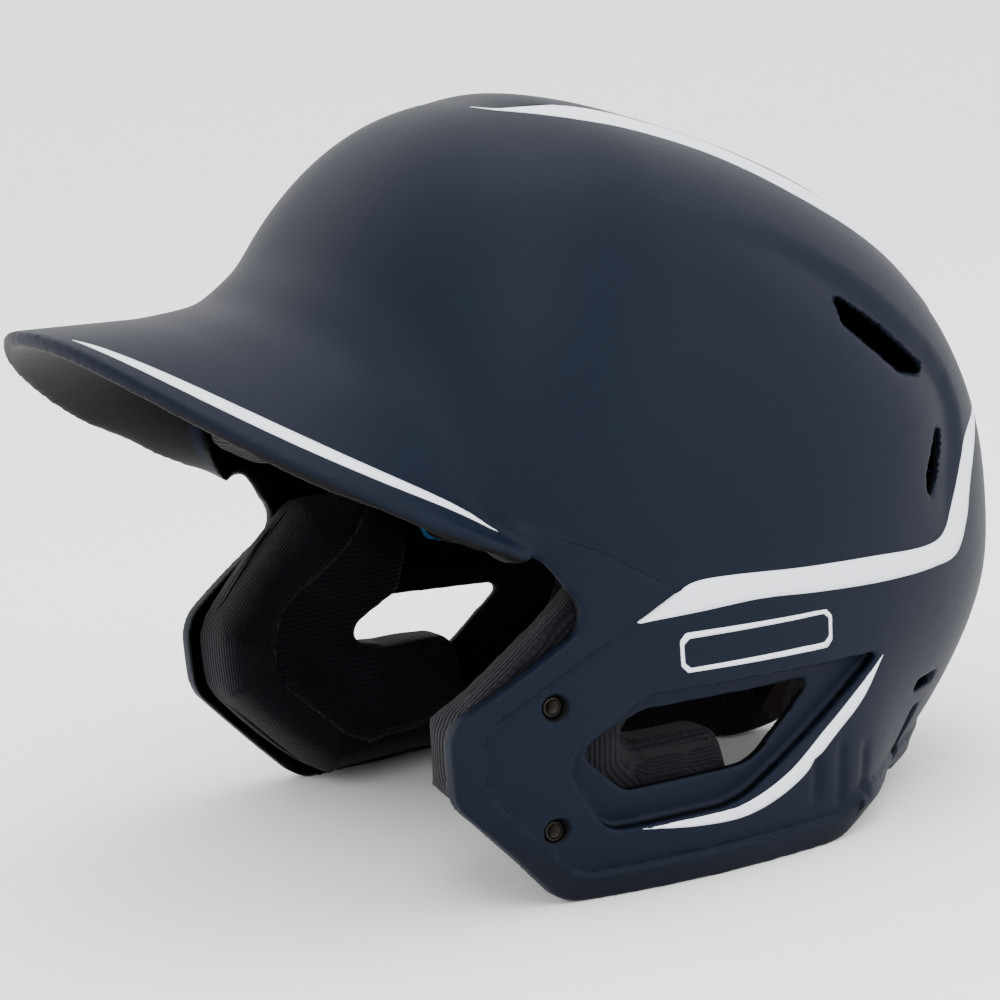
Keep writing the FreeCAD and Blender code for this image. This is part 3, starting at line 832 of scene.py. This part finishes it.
def draw_in(piece, outline, margin):
    """Moves everything within the margin of an outline to the margin's inner side."""
    points = read_points(piece.data)
    y, z = points[:, 1], points[:, 2]
    gap, _, _ = line_distance(y, z, outline)
    slope_y = line_distance(y + 0.2, z, outline)[0] - line_distance(y - 0.2, z, outline)[0]
    slope_z = line_distance(y, z + 0.2, outline)[0] - line_distance(y, z - 0.2, outline)[0]
    steep = np.maximum(np.hypot(slope_y, slope_z), 1e-6)
    move = np.maximum(margin - gap, 0.0) * 0.95
    points[:, 1] += slope_y / steep * move
    points[:, 2] += slope_z / steep * move
    write_points(piece.data, points)


def foam_and_plates():
    """The bare nape foam and the EVA plates behind the pads, with softened edges."""
    foam = new_object("nape_foam_block", merged_copy("nape_foam_block", "nape_foam"), FOAM)
    remesh(foam, 1.6)
    smooth(foam, 4)
    set_smooth(foam.data)
    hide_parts("nape_foam")
    for name in sorted(name for name in NODES if "_base" in name):
        plate = new_object(name.replace("base", "plate"), merged_copy(name + "_plate", name), EVA)
        remesh(plate, 1.2)
        if "cheek" in name:
            draw_in(plate, CHEEK, CHEEK_MARGIN)
        if "brow" in name:
            draw_in(plate, BROW_FRONT, BROW_MARGIN)
        smooth(plate, 8)
        set_smooth(plate.data)
        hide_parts(name)


pads_on_sides()
pads_in_middle()
foam_and_plates()

HOOK_NODE = NODES["hook_patches"]
HOOK_NODE.data.materials.clear()
HOOK_NODE.data.materials.append(HOOK)


# ------------------------------------------------------------------------ nuts

THREAD_STEP = 0.35


def make_nut(level, side, turn):
    """Flanged nut with a chamfered mouth and thread ridges inside its barrel."""
    node = "face_guard_nut_%s_%s" % (level, side)
    low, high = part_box(node)
    centre_z = (low.z + high.z) / 2 / MM
    start = min(abs(low.x), abs(high.x)) / MM
    end = max(abs(low.x), abs(high.x)) / MM
    # the turned outline: (place along the barrel, radius)
    outline = [(start, 1.95), (start, 6.4), (start + 0.35, 7.0), (start + 0.9, 7.0), (start + 1.2, 6.6),
               (start + 1.2, 2.9), (end - 0.4, 2.9), (end, 2.55), (end, 2.25), (end - 0.5, 1.95)]
    reach = end - 0.6
    while reach - THREAD_STEP > start + 0.3:
        outline += [(reach, 2.0), (reach - THREAD_STEP / 2, 1.72)]
        reach -= THREAD_STEP
    bm = bmesh.new()
    ring = [bm.verts.new((run, radius, 0.0)) for run, radius in outline]
    edges = [bm.edges.new((ring[k - 1], ring[k])) for k in range(len(ring))]
    bmesh.ops.spin(bm, geom=ring + edges, cent=(0, 0, 0), axis=(1, 0, 0), angle=2 * math.pi, steps=48,
                   use_merge=True)
    bmesh.ops.remove_doubles(bm, verts=bm.verts, dist=0.001)
    bmesh.ops.scale(bm, vec=(turn, 1, 1), verts=bm.verts)
    bmesh.ops.translate(bm, vec=(0, NUT_Y, centre_z), verts=bm.verts)
    bmesh.ops.recalc_face_normals(bm, faces=bm.faces)
    bmesh.ops.scale(bm, vec=(MM, MM, MM), verts=bm.verts)
    title = "guard_nut_%s_%s" % (level, side)
    piece = new_object(title, as_mesh(title, bm), NUT_METAL)
    sharp = piece.modifiers.new("edges", "EDGE_SPLIT")
    sharp.split_angle = math.radians(50)
    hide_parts(node)


for nut_side, nut_turn in (("left", 1), ("right", -1)):
    for nut_level in ("low", "high"):
        make_nut(nut_level, nut_side, nut_turn)


# ----------------------------------------------------------------------- light

LAMP_TARGET = Vector((0.0, 0.0, 0.1))


def lamp(name, place, size, power):
    data = bpy.data.lights.new(name, "AREA")
    data.shape = "DISK"
    data.size = size
    data.energy = power
    lit = bpy.data.objects.new(name, data)
    lit.location = place
    lit.rotation_euler = (LAMP_TARGET - Vector(place)).to_track_quat("-Z", "Y").to_euler()
    bpy.context.scene.collection.objects.link(lit)


lamp("key", (1.2, -0.6, 1.5), 0.8, 15.0)
lamp("side", (1.5, 0.9, 0.7), 1.0, 9.0)
lamp("top", (-0.2, 0.2, 1.8), 1.2, 14.0)

world = bpy.data.worlds.new("studio")
bpy.context.scene.world = world
world.use_nodes = True
backdrop = world.node_tree.nodes["Background"]
backdrop.inputs["Color"].default_value = (1.0, 1.0, 1.0, 1.0)
backdrop.inputs["Strength"].default_value = 2.3


def make_floor():
    bm = bmesh.new()
    bmesh.ops.create_grid(bm, x_segments=2, y_segments=2, size=40.0)
    mesh = as_mesh("floor", bm)
    floor = bpy.data.objects.new("floor", mesh)
    bpy.context.scene.collection.objects.link(floor)
    made = bpy.data.materials.new("pale_floor")
    made.use_nodes = True
    shader = made.node_tree.nodes["Principled BSDF"]
    shader.inputs["Base Color"].default_value = (0.9, 0.9, 0.9, 1.0)
    shader.inputs["Roughness"].default_value = 0.9
    mesh.materials.append(made)


make_floor()


CAMERA_PLACE = (0.8390, -0.4391, 0.2657)
CAMERA_RIGHT = Vector((0.46947, 0.87959, -0.07696))
CAMERA_UP = Vector((-0.12594, 0.15298, 0.98017))


def make_camera():
    data = bpy.data.cameras.new("view")
    data.lens = 116.9
    data.sensor_width = 36.0
    data.shift_x = -0.001
    data.shift_y = 0.017
    data.clip_start = 0.01
    camera = bpy.data.objects.new("view", data)
    camera.location = CAMERA_PLACE
    turn = Matrix((CAMERA_RIGHT, CAMERA_UP, CAMERA_RIGHT.cross(CAMERA_UP))).transposed()
    camera.rotation_euler = turn.to_euler()
    bpy.context.scene.collection.objects.link(camera)
    bpy.context.scene.camera = camera


make_camera()
